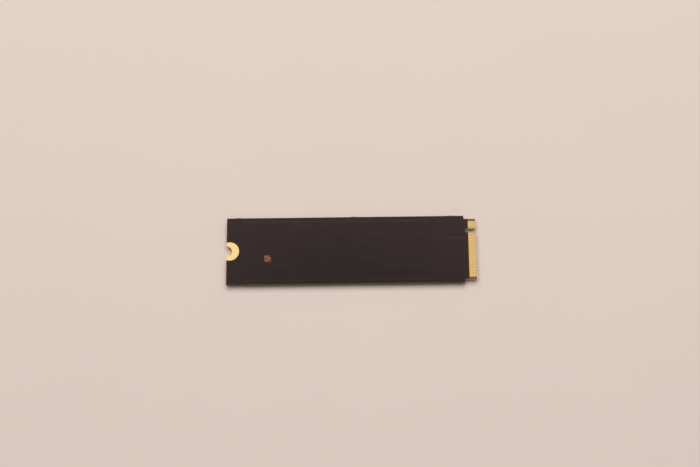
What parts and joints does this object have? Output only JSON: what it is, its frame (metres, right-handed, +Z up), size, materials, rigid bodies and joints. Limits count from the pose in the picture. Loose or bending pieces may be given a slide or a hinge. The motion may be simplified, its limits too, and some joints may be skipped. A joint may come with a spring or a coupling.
{
  "type": "nvme ssd",
  "caption": "Flash storage module for a keyed card-edge slot, lying chips down with its bare black side up, gold contacts at one end and a plated screw notch at the other.",
  "frame": {"origin": "on the surface the module lies on, under the middle of its footprint", "axes": "+X along the board towards the card-edge contacts, +Y across it towards the side of the key notch, +Z up, out of the bare side of the board"},
  "size_m": [0.08, 0.0221, 0.002],
  "materials": {
    "laminate": "raw glass-cloth laminate, satin cut edges",
    "mask": "black solder mask, low sheen",
    "gold": "gold over nickel, smooth",
    "copper": "bare copper, etched",
    "mould": "black moulding compound, fine matte",
    "substrate": "dark green resin laminate",
    "solder": "tin solder, bright",
    "tin": "matte tin plating",
    "capacitor_ceramic": "fired ceramic, satin",
    "resistor_body": "white ceramic under a black glaze",
    "core": "pressed iron powder, matte",
    "lid": "nickel-plated lid"
  },
  "bodies": {
    "root": {"board_laminate": "laminate", "buffer_balls": "solder", "buffer_mould": "mould", "buffer_substrate": "substrate", "bulk_capacitor_bodies": "capacitor_ceramic", "bulk_capacitor_caps": "tin", "capacitor_bodies": "capacitor_ceramic", "capacitor_caps": "tin", "code_mark": "copper", "contact_pads_back": "gold", "contact_pads_front": "gold", "controller_balls": "solder", "controller_mould": "mould", "controller_substrate": "substrate", "crystal_base": "capacitor_ceramic", "crystal_lid": "lid", "inductor_clips": "tin", "inductor_cores": "core", "lane_capacitors": "capacitor_ceramic", "load_switch_body": "mould", "load_switch_leads": "tin", "memory_1_balls": "solder", "memory_1_mould": "mould", "memory_1_substrate": "substrate", "memory_2_balls": "solder", "memory_2_mould": "mould", "memory_2_substrate": "substrate", "notch_plating": "gold", "power_chip_body": "mould", "power_chip_leads": "tin", "regulator_body": "mould", "regulator_leads": "tin", "resistor_bodies": "resistor_body", "resistor_caps": "tin", "setup_memory_body": "mould", "setup_memory_leads": "tin", "solder_mask_back": "mask", "solder_mask_front": "mask", "tiny_capacitors": "capacitor_ceramic"}
  },
  "joints": []
}
